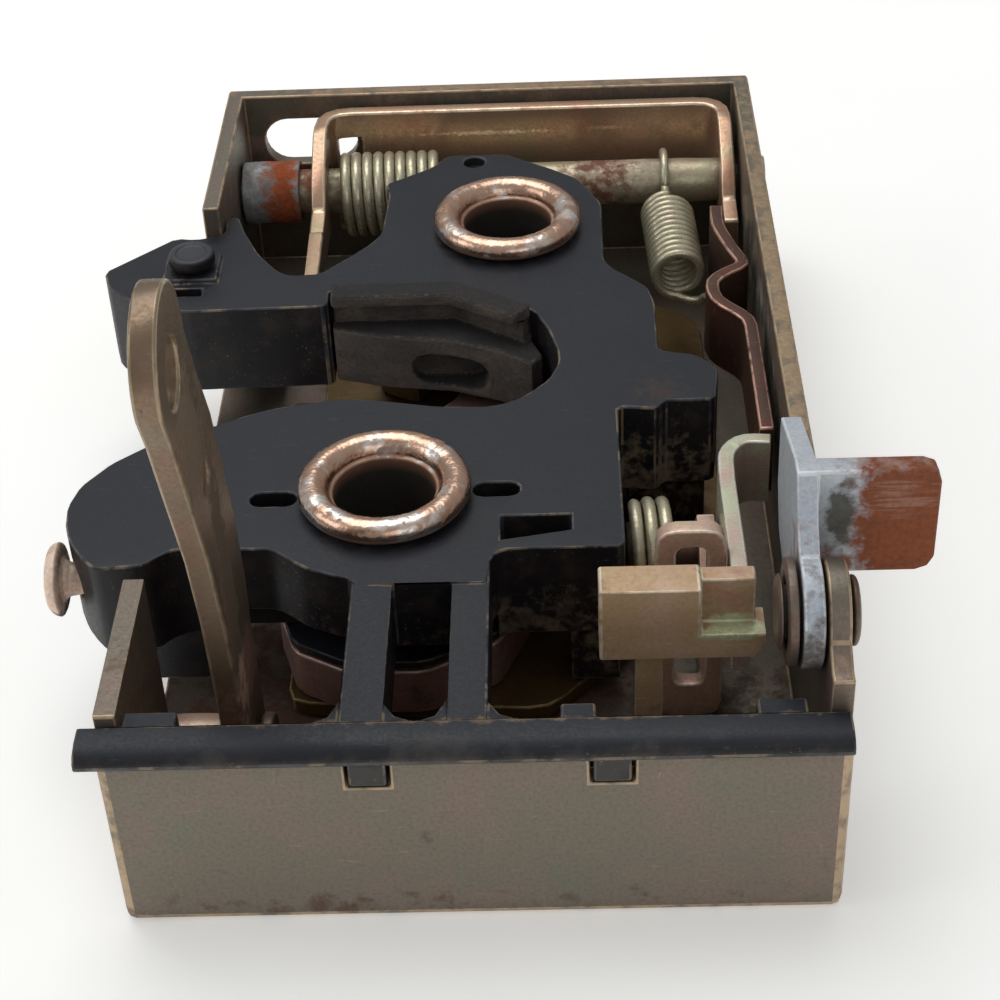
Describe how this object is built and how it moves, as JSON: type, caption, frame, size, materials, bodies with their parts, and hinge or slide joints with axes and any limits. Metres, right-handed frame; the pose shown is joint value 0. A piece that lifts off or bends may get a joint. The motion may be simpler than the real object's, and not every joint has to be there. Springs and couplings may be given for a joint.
{
  "type": "door latch",
  "caption": "Rotary-claw door latch in an open sheet-metal case: pivoting claw and pawl under a black moulding, release bail, springs and two operating levers.",
  "frame": {"origin": "bottom centre of the part's bounding box, on the case's underside plane", "axes": "+Z out of the case's open side, +Y along the case's length from the front rim to the back wall, +X to the side with the rusty side lever"},
  "size_m": [0.0774, 0.1083, 0.0608],
  "materials": {
    "black_moulding": "greasy, fine moulded grain",
    "rubber": "dull",
    "olive_zinc": "aged yellow-passivated zinc plate",
    "tan_zinc": "worn yellow-passivated zinc plate",
    "pink_zinc": "pinkish passivated zinc plate",
    "green_zinc": "greenish yellow passivated zinc plate",
    "grey_zinc": "grey zinc plate, rusting",
    "rust": "rusted steel",
    "worn_steel": "rubbed bright eyelet steel with brown stain",
    "spring_steel": "zinc plated spring wire"
  },
  "bodies": {
    "housing": {"case": "olive_zinc", "latch_body": "black_moulding", "striker_buffer": "rubber", "claw_eyelet": "worn_steel", "pawl_eyelet": "worn_steel", "claw_spring": "spring_steel", "pawl_spring": "spring_steel", "support_plate": "tan_zinc", "bail_axle": "rust", "axle_collar": "grey_zinc", "bail_torsion_spring": "spring_steel", "link_return_spring": "spring_steel", "side_lever_rivet": "tan_zinc", "spring_bracket": "pink_zinc", "lock_torsion_spring": "spring_steel", "spring_pin": "grey_zinc", "outside_lever_pin": "grey_zinc", "outside_lever_bush": "pink_zinc", "arm_stud": "black_moulding", "lobe_stud": "rust"},
    "claw_body": {"claw": "pink_zinc", "claw_jacket": "black_moulding"},
    "pawl_body": {"pawl": "tan_zinc"},
    "bail_body": {"release_bail": "tan_zinc"},
    "slide_body": {"link_strip": "pink_zinc", "lock_lever": "green_zinc", "lock_block": "tan_zinc"},
    "side_lever_body": {"side_lever": "grey_zinc", "side_lever_washer": "grey_zinc"},
    "outside_lever_body": {"outside_lever": "tan_zinc"}
  },
  "joints": [
    {"name": "claw_turn", "type": "hinge", "parent": "housing", "child": "claw_body", "pos_m": [-0.0074, -0.01955, 0.0065], "axis": [0, 0, 1], "range_deg": [0, 40]},
    {"name": "pawl_turn", "type": "hinge", "parent": "housing", "child": "pawl_body", "pos_m": [0.0033, 0.02655, 0.0065], "axis": [0, 0, 1], "range_deg": [0, 24]},
    {"name": "bail_swing", "type": "hinge", "parent": "housing", "child": "bail_body", "pos_m": [0.0009, 0.04415, 0.0155], "axis": [1, 0, 0], "range_deg": [0, 8]},
    {"name": "slide_shift", "type": "slide", "parent": "housing", "child": "slide_body", "axis": [0, 1, 0], "range_m": [0, 0.00163]},
    {"name": "side_lever_turn", "type": "hinge", "parent": "housing", "child": "side_lever_body", "pos_m": [0.0279, -0.04085, 0.0242], "axis": [1, 0, 0], "range_deg": [0, 18]},
    {"name": "outside_lever_turn", "type": "hinge", "parent": "housing", "child": "outside_lever_body", "pos_m": [-0.0192, -0.03835, 0.008], "axis": [1, 0, 0], "range_deg": [-14, 8]}
  ],
  "couplings": [
    {"joint": "side_lever_turn", "follows": "slide_shift", "rad_per_m": 192.31},
    {"joint": "bail_swing", "follows": "slide_shift", "rad_per_m": 84.615},
    {"joint": "pawl_turn", "follows": "slide_shift", "rad_per_m": 255.77}
  ]
}
